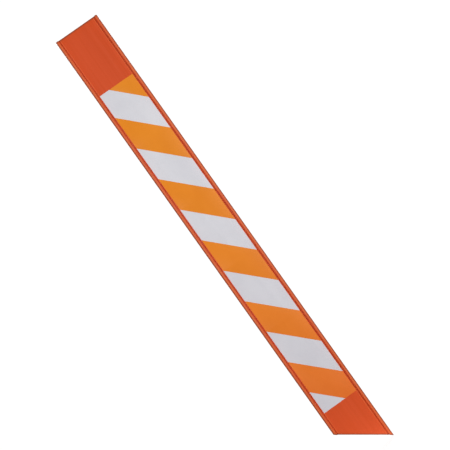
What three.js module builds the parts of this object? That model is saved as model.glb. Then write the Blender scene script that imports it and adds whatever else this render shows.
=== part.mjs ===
// Driveway snow marker: a flat pultruded composite blade with a raised rail along each side,
// faced with diagonally striped reflective sheeting, and cut at an angle at its lower end so
// that it can be driven into the ground.
//
// Units are millimetres. +Z runs up the blade, +X across it to the side with the driving tip,
// and the striped face looks toward -Y. The origin is at the ground line, on the blade's
// centreline and halfway through its panel.

import * as THREE from 'three';

// Blade: its square top, its slanted lower end and its panel.
const BLADE_WIDTH = 95.25;
const BLADE_LENGTH = 991;
const TIP_DEPTH = 101.6;
const END_CUT_RISE = 68.6;
const PANEL_THICKNESS = 3;
const BACK_EDGE_RADIUS = 1.25;

// Rail on each side of the front face. Its outer corner is rounded far more than its inner one.
const RAIL_WIDTH = 6.2;
const RAIL_HEIGHT = 4;
const RAIL_OUTER_RADIUS = 4.2;
const RAIL_INNER_RADIUS = 1.3;

// Shallow groove between each rail and the panel, with a soft shoulder up to the panel.
const GROOVE_DEPTH = 0.5;
const GROOVE_RADIUS = 0.9;
const GROOVE_FLOOR_WIDTH = 0.6;
const SHOULDER_WIDTH = 1.5;

// Reflective sheeting, stuck to the panel between the rails.
const SHEETING_WIDTH = 76.2;
const SHEETING_LENGTH = 746.5;
const SHEETING_TOP_MARGIN = 131.8;
const ADHESIVE_THICKNESS = 0.125;
const SHEETING_THICKNESS = 0.375;
const FILM_THICKNESS = 0.125;

// Stripes: equal bands at 45 degrees that run down toward +X. The first orange one starts above
// the sheeting, and its lower edge crosses the centreline at FIRST_STRIPE_DROP below the top.
const STRIPE_COUNT = 6;
const STRIPE_WIDTH = 50.8;
const FIRST_STRIPE_DROP = 16.3;

const ARC_SEGMENTS = 10;

// Places that follow from the sizes above.
const EDGE_X = BLADE_WIDTH / 2;
const TOP_Z = BLADE_LENGTH - TIP_DEPTH;
const FRONT_Y = -PANEL_THICKNESS / 2;
const BACK_Y = PANEL_THICKNESS / 2;
const SHEETING_TOP_Z = TOP_Z - SHEETING_TOP_MARGIN;
const SHEETING_MIDDLE_Z = SHEETING_TOP_Z - SHEETING_LENGTH / 2;
const SHEETING_BACK_Y = FRONT_Y - ADHESIVE_THICKNESS;
const FILM_BACK_Y = SHEETING_BACK_Y - SHEETING_THICKNESS;

const MATERIALS = {
  composite: { color: 0xcf5430, roughness: 0.45, metalness: 0 },
  adhesive: { color: 0xd8d4c8, roughness: 0.6, metalness: 0 },
  sheeting: { color: 0xd6d5db, roughness: 0.35, metalness: 0 },
  film: { color: 0xe2882f, roughness: 0.3, metalness: 0 },
};

function namedMesh(name, geometry, material) {
  const mesh = new THREE.Mesh(geometry, new THREE.MeshStandardMaterial(MATERIALS[material]));
  mesh.name = name;
  return mesh;
}

// The +X half of the blade's cross-section: from the front face's flat, through the groove, over
// the rail and down the side to the back face's flat.
function halfSection() {
  const crestY = FRONT_Y - RAIL_HEIGHT;
  const grooveY = FRONT_Y + GROOVE_DEPTH;
  const railX = EDGE_X - RAIL_WIDTH;
  const grooveOuterX = railX - GROOVE_RADIUS;
  const grooveInnerX = grooveOuterX - GROOVE_FLOOR_WIDTH;
  const shoulderX = grooveInnerX - SHOULDER_WIDTH;
  const shoulderMiddleX = (grooveInnerX + shoulderX) / 2;

  const path = new THREE.Path();
  path.moveTo(shoulderX, FRONT_Y);
  path.bezierCurveTo(shoulderMiddleX, FRONT_Y, shoulderMiddleX, grooveY, grooveInnerX, grooveY);
  path.lineTo(grooveOuterX, grooveY);
  path.absarc(grooveOuterX, grooveY - GROOVE_RADIUS, GROOVE_RADIUS, Math.PI / 2, 0, true);
  path.absarc(railX + RAIL_INNER_RADIUS, crestY + RAIL_INNER_RADIUS, RAIL_INNER_RADIUS,
    Math.PI, Math.PI * 1.5, false);
  path.absarc(EDGE_X - RAIL_OUTER_RADIUS, crestY + RAIL_OUTER_RADIUS, RAIL_OUTER_RADIUS,
    Math.PI * 1.5, Math.PI * 2, false);
  path.absarc(EDGE_X - BACK_EDGE_RADIUS, BACK_Y - BACK_EDGE_RADIUS, BACK_EDGE_RADIUS,
    0, Math.PI / 2, false);
  return path.getPoints(ARC_SEGMENTS);
}

function bladeSection() {
  const right = halfSection();
  const left = right.map((point) => new THREE.Vector2(-point.x, point.y)).reverse();
  return new THREE.Shape([...right, ...left]);
}

// The extrusion's lower end is sheared into the slanted cut: lowest at +X, highest at -X.
function bladeGeometry() {
  const geometry = new THREE.ExtrudeGeometry(bladeSection(), {
    depth: TOP_Z, steps: 1, bevelEnabled: false,
  });
  const position = geometry.getAttribute('position');
  for (let i = 0; i < position.count; i += 1) {
    if (position.getZ(i) < TOP_Z / 2) {
      const fromTipSide = (EDGE_X - position.getX(i)) / BLADE_WIDTH;
      position.setZ(i, END_CUT_RISE * fromTipSide - TIP_DEPTH);
    }
  }
  geometry.computeVertexNormals();
  return geometry;
}

// A rectangular layer over the whole sheeting area. It lies in front of backY.
function layerMesh(name, backY, thickness, material) {
  const geometry = new THREE.BoxGeometry(SHEETING_WIDTH, thickness, SHEETING_LENGTH);
  const mesh = namedMesh(name, geometry, material);
  mesh.position.set(0, backY - thickness / 2, SHEETING_MIDDLE_Z);
  return mesh;
}

// Keeps the part of a polygon where height(point) isn't negative. The height is linear.
function clipPolygon(points, height) {
  const kept = [];
  points.forEach((point, index) => {
    const next = points[(index + 1) % points.length];
    const here = height(point);
    const there = height(next);
    if (here >= 0) {
      kept.push(point);
    }
    if (here * there < 0) {
      kept.push(point.clone().lerp(next, here / (here - there)));
    }
  });
  return kept;
}

// Outline of orange stripe number index, counted from the top: a slanted band across the
// sheeting, clipped at the sheeting's two ends. y is the height above the sheeting's top edge.
function stripeOutline(index) {
  const halfWidth = SHEETING_WIDTH / 2;
  const stripeDrop = STRIPE_WIDTH * Math.SQRT2;
  const lowerY = -(FIRST_STRIPE_DROP + 2 * index * stripeDrop);
  const upperY = lowerY + stripeDrop;
  const band = [
    new THREE.Vector2(-halfWidth, upperY + halfWidth),
    new THREE.Vector2(-halfWidth, lowerY + halfWidth),
    new THREE.Vector2(halfWidth, lowerY - halfWidth),
    new THREE.Vector2(halfWidth, upperY - halfWidth),
  ];
  const belowTop = clipPolygon(band, (point) => -point.y);
  return clipPolygon(belowTop, (point) => point.y + SHEETING_LENGTH);
}

function stripeMesh(index) {
  const geometry = new THREE.ExtrudeGeometry(new THREE.Shape(stripeOutline(index)), {
    depth: FILM_THICKNESS, steps: 1, bevelEnabled: false,
  });
  geometry.rotateX(Math.PI / 2);
  const mesh = namedMesh(`orange_stripe_${index + 1}`, geometry, 'film');
  mesh.position.set(0, FILM_BACK_Y, SHEETING_TOP_Z);
  return mesh;
}

const marker = new THREE.Group();
marker.add(namedMesh('marker_blade', bladeGeometry(), 'composite'));
marker.add(layerMesh('sheeting_adhesive', FRONT_Y, ADHESIVE_THICKNESS, 'adhesive'));
marker.add(layerMesh('white_reflective_sheeting', SHEETING_BACK_Y, SHEETING_THICKNESS, 'sheeting'));
for (let index = 0; index < STRIPE_COUNT; index += 1) {
  marker.add(stripeMesh(index));
}

export default marker;
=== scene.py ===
import math

import bmesh
import bpy
from mathutils import Matrix, Vector, noise


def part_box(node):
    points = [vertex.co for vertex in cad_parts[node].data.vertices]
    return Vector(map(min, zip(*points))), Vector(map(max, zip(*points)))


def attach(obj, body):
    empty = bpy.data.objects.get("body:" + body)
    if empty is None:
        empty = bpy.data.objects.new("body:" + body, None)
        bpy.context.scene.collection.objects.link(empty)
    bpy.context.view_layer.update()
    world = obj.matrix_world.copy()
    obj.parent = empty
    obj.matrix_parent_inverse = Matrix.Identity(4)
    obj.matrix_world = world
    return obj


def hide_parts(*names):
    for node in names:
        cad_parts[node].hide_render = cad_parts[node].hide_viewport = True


# Driveway snow marker. Everything is in metres, in the CAD frame: +Z runs up the blade, the
# striped face looks toward -Y, and the driving tip is on the +X side.

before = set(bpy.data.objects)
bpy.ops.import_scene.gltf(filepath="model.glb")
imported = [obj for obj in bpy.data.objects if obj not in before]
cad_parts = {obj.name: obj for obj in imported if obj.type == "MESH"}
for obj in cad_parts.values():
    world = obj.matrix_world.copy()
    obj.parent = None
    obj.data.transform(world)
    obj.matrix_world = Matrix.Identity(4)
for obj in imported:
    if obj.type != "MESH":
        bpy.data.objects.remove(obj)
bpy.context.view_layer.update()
blade_low, blade_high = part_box("marker_blade")
sheet_low, sheet_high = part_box("white_reflective_sheeting")

MM = 0.001

# Camera. It looks at a point a little above the middle of the blade, and is rolled so that the
# blade lies across the picture.
LENS_MM = 107.76
SENSOR_MM = 36.0
CAMERA_DISTANCE = 2.591
CAMERA_TILT_DEG = 1.44
CAMERA_YAW_DEG = -2.48
CAMERA_ROLL_DEG = -35.29
AIM_RIGHT = 15.6 * MM
AIM_ABOVE_MIDDLE = 24.2 * MM

# Every mesh: edges that turn by more than this stay sharp.
SHARP_ANGLE_DEG = 38

# Blade mesh.
CUT_EDGE_RADIUS = 0.35 * MM
CUT_EDGE_STEPS = 4
LONGEST_SECTION_STEP = 1.6 * MM
RING_SPACING = 16 * MM
RAIL_WANDER = 0.07 * MM
SAW_ROUGHNESS = 0.12 * MM
SAME_PLACE = 0.01 * MM

# Sheeting meshes.
SHEET_CORNER_RADIUS = 0.6 * MM
FILM_CORNER_RADIUS = 0.3 * MM
SHEET_EDGE_RADIUS = 0.12 * MM
FILM_EDGE_RADIUS = 0.05 * MM
ADHESIVE_EDGE_RADIUS = 0.03 * MM
CORNER_STEPS = 4
EDGE_STEPS = 3

# Places on the blade's front, measured in from its edge: the rail's inner wall, the line of painted
# highlight on the shoulder between the groove and the panel, and the painted shade on the rail's
# outer slope.
RAIL_WIDTH = 6.2 * MM
SHOULDER_LINE = 9.6 * MM
SHOULDER_LINE_HALF_WIDTH = 1.2 * MM
SHADE_LINE = 1.4 * MM
SHADE_HALF_WIDTH = 2.0 * MM
SHADED_RIM = 4.6 * MM

# How much of the pale strands, and of the painted shade on the slopes and the rims, shows.
STRAND_SHARE = 0.18
SLOPE_SHADE_SHARE = 0.5
RIM_SHADE_SHARE = 0.9

# Colours, as linear red, green and blue. A surface varies between its dark and its light one. The
# sheeting's lower tints are factors that its colour is multiplied by at its lower end.
BLADE_DARK = (0.655, 0.071, 0.010)
BLADE_LIGHT = (0.715, 0.081, 0.013)
PALE_STRAND = (0.78, 0.15, 0.06)
# The next colour is painted sheen on the rails and the shoulder lines.
PAINTED_SHEEN = (0.78, 0.146, 0.034)
# The next colour is painted shade on the rails' outer slopes and the ends' rims.
PAINTED_SHADE = (0.24, 0.060, 0.020)
SAWN_DARK = (0.42, 0.050, 0.016)
SAWN_LIGHT = (0.64, 0.150, 0.070)
WHITE_DARK = (0.69, 0.685, 0.73)
WHITE_LIGHT = (0.755, 0.75, 0.79)
WHITE_LOWER_TINT = (0.97, 0.95, 0.96)
FILM_DARK = (0.815, 0.251, 0.015)
FILM_LIGHT = (0.875, 0.283, 0.019)
FILM_LOWER_TINT = (0.98, 0.68, 1.6)
ADHESIVE_DARK = (0.62, 0.59, 0.50)
ADHESIVE_LIGHT = (0.76, 0.74, 0.66)
WHITE_ROUGHNESS = 0.33
FILM_ROUGHNESS = 0.31

# Floor: a disc that is solid inside the first share of its radius and gone past the second.
FLOOR_RADIUS = 0.15
FLOOR_SOLID_SHARE = 0.05
FLOOR_GONE_SHARE = 0.98
FLOOR_GLOW = 0.72

# World: the soft light on the object, and the white that the camera sees behind it.
AMBIENT_STRENGTH = 0.12
BACKDROP_STRENGTH = 1.05


# ---------------------------------------------------------------- camera

def make_camera():
    data = bpy.data.cameras.new("camera")
    data.lens = LENS_MM
    data.sensor_width = SENSOR_MM
    data.clip_start = 0.1
    data.clip_end = 50
    camera = bpy.data.objects.new("camera", data)
    bpy.context.scene.collection.objects.link(camera)

    upright = Matrix.Rotation(math.radians(90), 3, "X")
    yaw = Matrix.Rotation(math.radians(CAMERA_YAW_DEG), 3, "Y")
    tilt = Matrix.Rotation(math.radians(-CAMERA_TILT_DEG), 3, "X")
    roll = Matrix.Rotation(math.radians(CAMERA_ROLL_DEG), 3, "Z")
    turn = upright @ yaw @ tilt @ roll
    middle = (blade_low + blade_high) / 2
    aim = Vector((middle.x + AIM_RIGHT, 0, middle.z + AIM_ABOVE_MIDDLE))
    backward = turn @ Vector((0, 0, 1))
    camera.matrix_world = Matrix.Translation(aim + backward * CAMERA_DISTANCE) @ turn.to_4x4()
    bpy.context.scene.camera = camera


# ---------------------------------------------------------------- outlines, read from the CAD

def section_outline(node_name):
    """The CAD blade's cross-section at its square top end, as a closed loop of (x, y)."""
    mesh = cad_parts[node_name].data
    top = max(v.co.z for v in mesh.vertices)
    uses = {}
    for polygon in mesh.polygons:
        corners = [mesh.vertices[i].co for i in polygon.vertices]
        if all(abs(c.z - top) < SAME_PLACE for c in corners):
            keys = [(round(c.x / SAME_PLACE), round(c.y / SAME_PLACE)) for c in corners]
            for start, end in zip(keys, keys[1:] + keys[:1]):
                uses[frozenset((start, end))] = uses.get(frozenset((start, end)), 0) + 1
    neighbours = {}
    for edge, count in uses.items():
        if count == 1:
            start, end = edge
            neighbours.setdefault(start, []).append(end)
            neighbours.setdefault(end, []).append(start)
    first = min(neighbours)
    loop = [first, neighbours[first][0]]
    while True:
        following = [k for k in neighbours[loop[-1]] if k != loop[-2]][0]
        if following == first:
            break
        loop.append(following)
    return [Vector((x * SAME_PLACE, y * SAME_PLACE)) for x, y in loop]


def convex_outline(node_name):
    """The outline of a flat convex CAD layer, as a closed loop of (x, z)."""
    corners = {
        (round(v.co.x / SAME_PLACE), round(v.co.z / SAME_PLACE))
        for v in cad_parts[node_name].data.vertices
    }
    points = [Vector((x * SAME_PLACE, z * SAME_PLACE)) for x, z in sorted(corners)]
    middle = sum(points, Vector((0, 0))) / len(points)
    return sorted(points, key=lambda p: math.atan2(p.y - middle.y, p.x - middle.x))


def counter_clockwise(outline):
    area = sum(a.x * b.y - b.x * a.y for a, b in zip(outline, outline[1:] + outline[:1]))
    return outline if area > 0 else outline[::-1]


def with_extra_points(outline, longest):
    points = []
    for start, end in zip(outline, outline[1:] + outline[:1]):
        count = max(1, math.ceil((end - start).length / longest))
        points += [start.lerp(end, i / count) for i in range(count)]
    return points


def outward_normals(outline):
    """A unit vector out of a counter-clockwise loop at each of its points."""
    normals = []
    for i, point in enumerate(outline):
        along = (point - outline[i - 1]).normalized()
        along += (outline[(i + 1) % len(outline)] - point).normalized()
        along.normalize()
        normals.append(Vector((along.y, -along.x)))
    return normals


def rounded_corners(outline, radius):
    """A counter-clockwise convex loop with each corner turned into an arc."""
    points = []
    for i, corner in enumerate(outline):
        back = (outline[i - 1] - corner).normalized()
        ahead = (outline[(i + 1) % len(outline)] - corner).normalized()
        half_angle = back.angle(ahead) / 2
        centre = corner + (back + ahead).normalized() * (radius / math.sin(half_angle))
        start = corner + back * (radius / math.tan(half_angle))
        end = corner + ahead * (radius / math.tan(half_angle))
        for step in range(CORNER_STEPS + 1):
            mixed = start.lerp(end, step / CORNER_STEPS) - centre
            points.append(centre + mixed.normalized() * radius)
    return points


# ---------------------------------------------------------------- meshes

def finish_piece(name, bm, node_name, material):
    """Turns a bmesh into a piece that rides on root and replaces one CAD node."""
    bmesh.ops.recalc_face_normals(bm, faces=bm.faces)
    mesh = bpy.data.meshes.new(name)
    bm.to_mesh(mesh)
    bm.free()
    mesh.materials.append(material)
    mesh.shade_smooth()
    mesh.set_sharp_from_angle(angle=math.radians(SHARP_ANGLE_DEG))
    piece = bpy.data.objects.new(name, mesh)
    bpy.context.scene.collection.objects.link(piece)
    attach(piece, "root")
    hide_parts(node_name)


def skin(bm, rings):
    """Joins closed rings of vertices in order, and closes the first and the last with a face."""
    for low, high in zip(rings, rings[1:]):
        for i in range(len(low)):
            j = (i + 1) % len(low)
            bm.faces.new((low[i], low[j], high[j], high[i]))
    bm.faces.new(rings[0][::-1])
    bm.faces.new(rings[-1])


def cut_rise_per_metre():
    """How much the slanted lower end rises for each metre from the tip toward -X."""
    corner = min(v.co.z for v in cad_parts["marker_blade"].data.vertices
                 if v.co.x < blade_low.x + SAME_PLACE)
    return (corner - blade_low.z) / (blade_high.x - blade_low.x)


def make_blade(material):
    """The CAD section swept up the blade, with rounded cut edges and slightly uneven faces."""
    outline = counter_clockwise(section_outline("marker_blade"))
    outline = with_extra_points(outline, LONGEST_SECTION_STEP)
    normals = outward_normals(outline)
    rails_from = sheet_high.x + 1 * MM
    bm = bmesh.new()

    def wander(point, height):
        """How far the surface lies inside the CAD section. Only the rails and the sides wander.

        Each side has its own slow waves up the blade, with a quicker, weaker ripple on them.
        """
        if abs(point.x) < rails_from:
            return 0
        slow = noise.noise(Vector((math.copysign(3, point.x), 0, height * 9)))
        quick = noise.noise(Vector((point.x * 300, point.y * 300, height * 40)))
        return RAIL_WANDER * (0.5 + 0.35 * slow + 0.15 * quick)

    def saw_mark(point, end):
        return SAW_ROUGHNESS * (0.5 + 0.5 * noise.noise(Vector((point.x * 900, point.y * 900, end))))

    def ring(inset, heights, sawn_end=0):
        """A ring with a height for each point. The saw marks go in from sawn_end, if it has one."""
        vertices = []
        for point, normal, height in zip(outline, normals, heights):
            flat = point - normal * (inset + wander(point, height))
            sawn = height - sawn_end * saw_mark(point, sawn_end)
            vertices.append(bm.verts.new((flat.x, flat.y, sawn)))
        return vertices

    def rounded_end(end, end_heights, turns):
        """The rings over the rounded edge of the lower end, -1, or of the top end, 1."""
        rings = []
        for turn in turns:
            inset = CUT_EDGE_RADIUS * (1 - math.cos(turn))
            from_end = CUT_EDGE_RADIUS * (1 - math.sin(turn))
            sawn_end = end if from_end < CUT_EDGE_RADIUS / 2 else 0
            rings.append(ring(inset, [height - end * from_end for height in end_heights], sawn_end))
        return rings

    rise_per_metre = cut_rise_per_metre()
    lower_end = [blade_low.z + rise_per_metre * (blade_high.x - point.x) for point in outline]
    top_end = [blade_high.z] * len(outline)
    side_foot = [height + CUT_EDGE_RADIUS for height in lower_end]
    side_top = blade_high.z - CUT_EDGE_RADIUS
    turns = [math.radians(90) * i / CUT_EDGE_STEPS for i in range(1, CUT_EDGE_STEPS + 1)]
    rings = rounded_end(-1, lower_end, reversed(turns))
    count = math.ceil((blade_high.z - blade_low.z) / RING_SPACING)
    for i in range(count + 1):
        rings.append(ring(0, [foot + i / count * (side_top - foot) for foot in side_foot]))
    rings += rounded_end(1, top_end, turns)
    skin(bm, rings)
    finish_piece("composite_blade", bm, "marker_blade", material)


def make_layer(name, node_name, corner, edge, material):
    """A flat layer with the CAD layer's outline, and its front edge and corners rounded."""
    outline = rounded_corners(counter_clockwise(convex_outline(node_name)), corner)
    normals = outward_normals(outline)
    low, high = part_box(node_name)
    back, front = high.y, low.y
    bm = bmesh.new()
    profile = [(0, back)]
    for i in range(EDGE_STEPS + 1):
        turn = math.radians(90) * i / EDGE_STEPS
        profile.append((edge * (1 - math.cos(turn)), front + edge * (1 - math.sin(turn))))
    rings = []
    for inset, y in profile:
        flat = [p - n * inset for p, n in zip(outline, normals)]
        rings.append([bm.verts.new((p.x, y, p.y)) for p in flat])
    skin(bm, rings)
    finish_piece(name, bm, node_name, material)


# ---------------------------------------------------------------- materials

class Nodes:
    """A short way to add shader nodes to one material."""

    def __init__(self, name):
        self.material = bpy.data.materials.new(name)
        self.material.use_nodes = True
        self.tree = self.material.node_tree
        self.shader = self.tree.nodes["Principled BSDF"]
        self.place = self.add("ShaderNodeTexCoord").outputs["Object"]

    def add(self, kind, **settings):
        node = self.tree.nodes.new(kind)
        for key, value in settings.items():
            setattr(node, key, value)
        return node

    def feed(self, socket, value):
        if isinstance(value, bpy.types.NodeSocket):
            self.tree.links.new(value, socket)
        else:
            socket.default_value = value

    def stretched(self, scale):
        node = self.add("ShaderNodeMapping")
        self.feed(node.inputs["Vector"], self.place)
        node.inputs["Scale"].default_value = scale
        return node.outputs["Vector"]

    def noise(self, scale, detail=3.0, roughness=0.55):
        """Noise from 0 to 1. scale is how many features there are in a metre, along X, Y, Z."""
        node = self.add("ShaderNodeTexNoise")
        self.feed(node.inputs["Vector"], self.stretched(scale))
        node.inputs["Scale"].default_value = 1.0
        node.inputs["Detail"].default_value = detail
        node.inputs["Roughness"].default_value = roughness
        return node.outputs["Fac"]

    def beads(self, per_metre):
        """Distance to the nearest bead centre, in bead widths."""
        node = self.add("ShaderNodeTexVoronoi", feature="F1")
        self.feed(node.inputs["Vector"], self.place)
        node.inputs["Scale"].default_value = per_metre
        return node.outputs["Distance"]

    def rescale(self, value, low, high, new_low=0.0, new_high=1.0, smooth=False):
        node = self.add("ShaderNodeMapRange")
        node.interpolation_type = "SMOOTHSTEP" if smooth else "LINEAR"
        self.feed(node.inputs["Value"], value)
        node.inputs["From Min"].default_value = low
        node.inputs["From Max"].default_value = high
        node.inputs["To Min"].default_value = new_low
        node.inputs["To Max"].default_value = new_high
        return node.outputs["Result"]

    def math(self, operation, a, b=0.0):
        node = self.add("ShaderNodeMath", operation=operation)
        self.feed(node.inputs[0], a)
        self.feed(node.inputs[1], b)
        return node.outputs[0]

    def mix(self, share, a, b):
        """A colour between a at share 0 and b at share 1.

        The node's colour sockets share their names with others, so they are taken by number.
        """
        node = self.add("ShaderNodeMix", data_type="RGBA")
        self.feed(node.inputs["Factor"], share)
        self.feed(node.inputs[6], a if isinstance(a, bpy.types.NodeSocket) else (*a, 1))
        self.feed(node.inputs[7], b if isinstance(b, bpy.types.NodeSocket) else (*b, 1))
        return node.outputs[2]

    def bump(self, height, distance, strength=1.0, below=None):
        node = self.add("ShaderNodeBump")
        node.inputs["Distance"].default_value = distance
        node.inputs["Strength"].default_value = strength
        self.feed(node.inputs["Height"], height)
        if below is not None:
            self.feed(node.inputs["Normal"], below)
        return node.outputs["Normal"]

    def coordinate(self, axis):
        """The place along "X", "Y" or "Z", in metres."""
        parts = self.add("ShaderNodeSeparateXYZ")
        self.feed(parts.inputs[0], self.place)
        return parts.outputs[axis]

    def soft_line(self, value, centre, half_width):
        """1 where value is at centre, falling smoothly to 0 at half_width from it."""
        off = self.math("ABSOLUTE", self.math("SUBTRACT", value, centre))
        return self.rescale(off, 0, half_width, 1, 0, smooth=True)

    def facing_along_blade(self):
        """1 on the cut ends, which face up or down the blade, and 0 on its long sides."""
        parts = self.add("ShaderNodeSeparateXYZ")
        self.feed(parts.inputs[0], self.add("ShaderNodeNewGeometry").outputs["True Normal"])
        return self.rescale(self.math("ABSOLUTE", parts.outputs["Z"]), 0.3, 0.7)


def composite_material():
    """Orange pultruded glass-fibre composite: satin, with lengthwise fibre lines."""
    n = Nodes("orange_composite")
    streaks = n.noise((210, 210, 2.6), detail=4)
    fibres = n.noise((1500, 1500, 14), detail=3)
    clouds = n.noise((26, 26, 9), detail=3)
    strands = n.rescale(n.noise((700, 700, 7), detail=2), 0.62, 0.76)

    tone = n.math("ADD", n.math("MULTIPLY", streaks, 0.5), n.math("MULTIPLY", clouds, 0.5))
    tone = n.rescale(tone, 0.35, 0.65)
    colour = n.mix(tone, BLADE_DARK, BLADE_LIGHT)
    colour = n.mix(n.math("MULTIPLY", strands, STRAND_SHARE), colour, PALE_STRAND)

    # Painted sheen: the rails and the shoulder lines are paler, more in some places than others.
    across = n.math("ABSOLUTE", n.coordinate("X"))
    rail_inner = blade_high.x - RAIL_WIDTH
    on_front = n.rescale(n.coordinate("Y"), 0, -1 * MM)
    on_rail = n.rescale(across, rail_inner, rail_inner + 1 * MM)
    on_line = n.soft_line(across, blade_high.x - SHOULDER_LINE, SHOULDER_LINE_HALF_WIDTH)
    sheen_area = n.math("MULTIPLY", n.math("MAXIMUM", on_rail, on_line), on_front)
    sheen_breakup = n.rescale(n.noise((300, 300, 30), detail=5, roughness=0.65), 0.34, 0.66, 0.35, 1.0)
    sheen_mask = n.math("MULTIPLY", sheen_breakup, sheen_area)
    # Painted sheen: a paler, whiter orange is mixed in over the rails and the shoulder lines.
    colour = n.mix(sheen_mask, colour, PAINTED_SHEEN)

    # Painted shade darkens the outer slope of each rail, and the rim of each sawn end.
    on_slope = n.soft_line(across, blade_high.x - SHADE_LINE, SHADE_HALF_WIDTH)
    from_tip_side = n.math("SUBTRACT", blade_high.x, n.coordinate("X"))
    above_cut = n.math("SUBTRACT", n.coordinate("Z"), blade_low.z)
    above_cut = n.math("SUBTRACT", above_cut, n.math("MULTIPLY", from_tip_side, cut_rise_per_metre()))
    near_cut = n.rescale(above_cut, 0, SHADED_RIM, 1, 0, smooth=True)
    near_top = n.rescale(n.coordinate("Z"), blade_high.z - SHADED_RIM, blade_high.z, smooth=True)
    on_rim = n.math("MAXIMUM", near_cut, near_top)
    slope_shade = n.math("MULTIPLY", on_slope, SLOPE_SHADE_SHARE)
    rim_shade = n.math("MULTIPLY", on_rim, RIM_SHADE_SHARE)
    # Painted shade: the outer slopes and the end rims are mixed toward a dark brown.
    colour = n.mix(n.math("MAXIMUM", slope_shade, rim_shade), colour, PAINTED_SHADE)

    sawn = n.facing_along_blade()
    grain = n.rescale(n.noise((1800, 1800, 1800), detail=3), 0.35, 0.7)
    colour = n.mix(sawn, colour, n.mix(grain, SAWN_DARK, SAWN_LIGHT))
    n.feed(n.shader.inputs["Base Color"], colour)

    gloss = n.rescale(n.math("ADD", streaks, n.math("MULTIPLY", sheen_mask, 0.4)), 0.3, 0.9, 0.36, 0.52)
    gloss = n.math("ADD", gloss, n.math("MULTIPLY", sawn, 0.3))
    n.feed(n.shader.inputs["Roughness"], gloss)
    waves = n.bump(streaks, 0.10 * MM)
    n.feed(n.shader.inputs["Normal"], n.bump(fibres, 0.035 * MM, below=waves))
    n.shader.inputs["IOR"].default_value = 1.5
    n.shader.inputs["Specular IOR Level"].default_value = 0.36
    return n.material


def sheeting_material(name, dark, light, lower_tint, roughness):
    """Smooth glass-bead sheeting: fine beads under a clear face, and slightly cloudy.

    Its colour turns slowly toward lower_tint, a factor, down the length of the sheeting.
    """
    n = Nodes(name)
    clouds = n.noise((20, 20, 13), detail=4)
    speckle = n.noise((1300, 1300, 1300), detail=2)
    tone = n.math("ADD", n.math("MULTIPLY", clouds, 0.65), n.math("MULTIPLY", speckle, 0.35))
    tone = n.rescale(tone, 0.35, 0.65)
    lower_dark = [part * factor for part, factor in zip(dark, lower_tint)]
    lower_light = [part * factor for part, factor in zip(light, lower_tint)]
    drop = n.rescale(n.coordinate("Z"), sheet_high.z, sheet_low.z)
    drop = n.math("MULTIPLY", drop, drop)
    colour = n.mix(drop, n.mix(tone, dark, light), n.mix(tone, lower_dark, lower_light))
    n.feed(n.shader.inputs["Base Color"], colour)
    n.feed(n.shader.inputs["Roughness"], n.rescale(clouds, 0.3, 0.7, roughness, roughness + 0.03))
    ripple = n.bump(n.noise((60, 60, 45), detail=2), 0.05 * MM)
    n.feed(n.shader.inputs["Normal"], n.bump(n.beads(2400), 0.02 * MM, 0.6, below=ripple))
    n.shader.inputs["IOR"].default_value = 1.45
    n.shader.inputs["Specular IOR Level"].default_value = 0.25
    n.shader.inputs["Coat Weight"].default_value = 0.08
    n.shader.inputs["Coat Roughness"].default_value = 0.22
    return n.material


def adhesive_material():
    """Cloudy, rubbery adhesive, of which only the edge shows."""
    n = Nodes("adhesive")
    cloudy = n.noise((900, 900, 900))
    n.feed(n.shader.inputs["Base Color"], n.mix(cloudy, ADHESIVE_DARK, ADHESIVE_LIGHT))
    n.feed(n.shader.inputs["Roughness"], n.rescale(cloudy, 0.3, 0.7, 0.5, 0.65))
    n.feed(n.shader.inputs["Normal"], n.bump(cloudy, 0.03 * MM))
    return n.material


# ---------------------------------------------------------------- floor, world and lights

def make_floor():
    """A plain near-white disc under the tip. It fades out toward its rim, so no edge shows."""
    bm = bmesh.new()
    bmesh.ops.create_circle(bm, cap_ends=True, segments=96, radius=FLOOR_RADIUS)
    mesh = bpy.data.meshes.new("floor")
    bm.to_mesh(mesh)
    bm.free()
    floor = bpy.data.objects.new("floor", mesh)
    floor.location = (0, 0, blade_low.z)
    bpy.context.scene.collection.objects.link(floor)

    n = Nodes("floor")
    distance = n.add("ShaderNodeVectorMath", operation="LENGTH")
    n.feed(distance.inputs[0], n.place)
    fade = n.rescale(distance.outputs["Value"], FLOOR_SOLID_SHARE * FLOOR_RADIUS,
                     FLOOR_GONE_SHARE * FLOOR_RADIUS, smooth=True)
    n.shader.inputs["Base Color"].default_value = (0.4, 0.4, 0.4, 1)
    n.shader.inputs["Roughness"].default_value = 0.9
    n.shader.inputs["Specular IOR Level"].default_value = 0.0
    n.shader.inputs["Emission Color"].default_value = (1, 1, 1, 1)
    n.shader.inputs["Emission Strength"].default_value = FLOOR_GLOW
    clear = n.add("ShaderNodeBsdfTransparent")
    blend = n.add("ShaderNodeMixShader")
    n.feed(blend.inputs[0], fade)
    n.feed(blend.inputs[1], n.shader.outputs[0])
    n.feed(blend.inputs[2], clear.outputs[0])
    n.feed(n.tree.nodes["Material Output"].inputs["Surface"], blend.outputs[0])
    mesh.materials.append(n.material)


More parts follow.
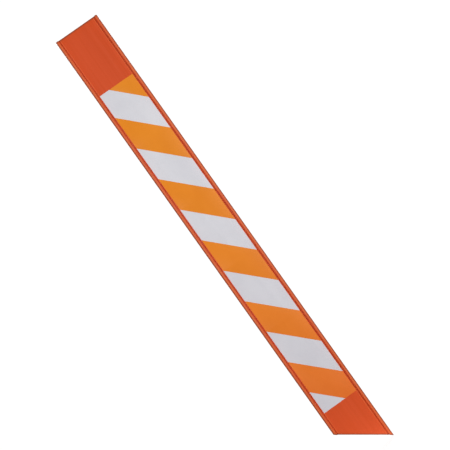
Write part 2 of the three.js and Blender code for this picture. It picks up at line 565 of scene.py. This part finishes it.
def make_world():
    """White behind the object, and a much weaker soft light on it from all round."""
    world = bpy.data.worlds.new("world")
    world.use_nodes = True
    tree = world.node_tree
    ambient = tree.nodes["Background"]
    ambient.inputs["Color"].default_value = (1, 1, 1, 1)
    ambient.inputs["Strength"].default_value = AMBIENT_STRENGTH
    backdrop = tree.nodes.new("ShaderNodeBackground")
    backdrop.inputs["Color"].default_value = (1, 1, 1, 1)
    backdrop.inputs["Strength"].default_value = BACKDROP_STRENGTH
    choose = tree.nodes.new("ShaderNodeMixShader")
    path = tree.nodes.new("ShaderNodeLightPath")
    tree.links.new(path.outputs["Is Camera Ray"], choose.inputs[0])
    tree.links.new(ambient.outputs[0], choose.inputs[1])
    tree.links.new(backdrop.outputs[0], choose.inputs[2])
    tree.links.new(choose.outputs[0], tree.nodes["World Output"].inputs["Surface"])
    bpy.context.scene.world = world
    bpy.context.scene.view_settings.view_transform = "Standard"


def make_soft_light(name, place, size, power):
    """A soft box at place that faces the middle of the blade."""
    data = bpy.data.lights.new(name, "AREA")
    data.shape = "RECTANGLE"
    data.size, data.size_y = size
    data.energy = power
    light = bpy.data.objects.new(name, data)
    bpy.context.scene.collection.objects.link(light)
    middle = (blade_low + blade_high) / 2
    light.location = place
    light.rotation_mode = "QUATERNION"
    light.rotation_quaternion = (Vector(place) - middle).to_track_quat("Z", "Y")


# ---------------------------------------------------------------- the scene

make_camera()
make_blade(composite_material())
make_layer("adhesive_layer", "sheeting_adhesive", SHEET_CORNER_RADIUS, ADHESIVE_EDGE_RADIUS,
           adhesive_material())
white = sheeting_material("white_sheeting", WHITE_DARK, WHITE_LIGHT, WHITE_LOWER_TINT,
                          WHITE_ROUGHNESS)
make_layer("white_sheeting", "white_reflective_sheeting", SHEET_CORNER_RADIUS, SHEET_EDGE_RADIUS,
           white)
orange = sheeting_material("orange_film", FILM_DARK, FILM_LIGHT, FILM_LOWER_TINT, FILM_ROUGHNESS)
for node_name in sorted(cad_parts):
    if node_name.startswith("orange_stripe_"):
        make_layer(node_name.replace("stripe", "film"), node_name, FILM_CORNER_RADIUS,
                   FILM_EDGE_RADIUS, orange)

make_floor()
make_world()
make_soft_light("key_light", (1.25, -1.7, 0.46), (0.8, 1.0), 22.2)
make_soft_light("fill_light", (-1.03, -1.7, 0.54), (0.8, 1.0), 18.5)
make_soft_light("top_light", (0.2, 0.2, 2.7), (1.8, 1.8), 28)
make_soft_light("back_light_left", (0.9, 2.3, 1.5), (1.0, 1.0), 26)
make_soft_light("back_light_right", (-0.9, 2.3, 1.5), (1.0, 1.0), 26)
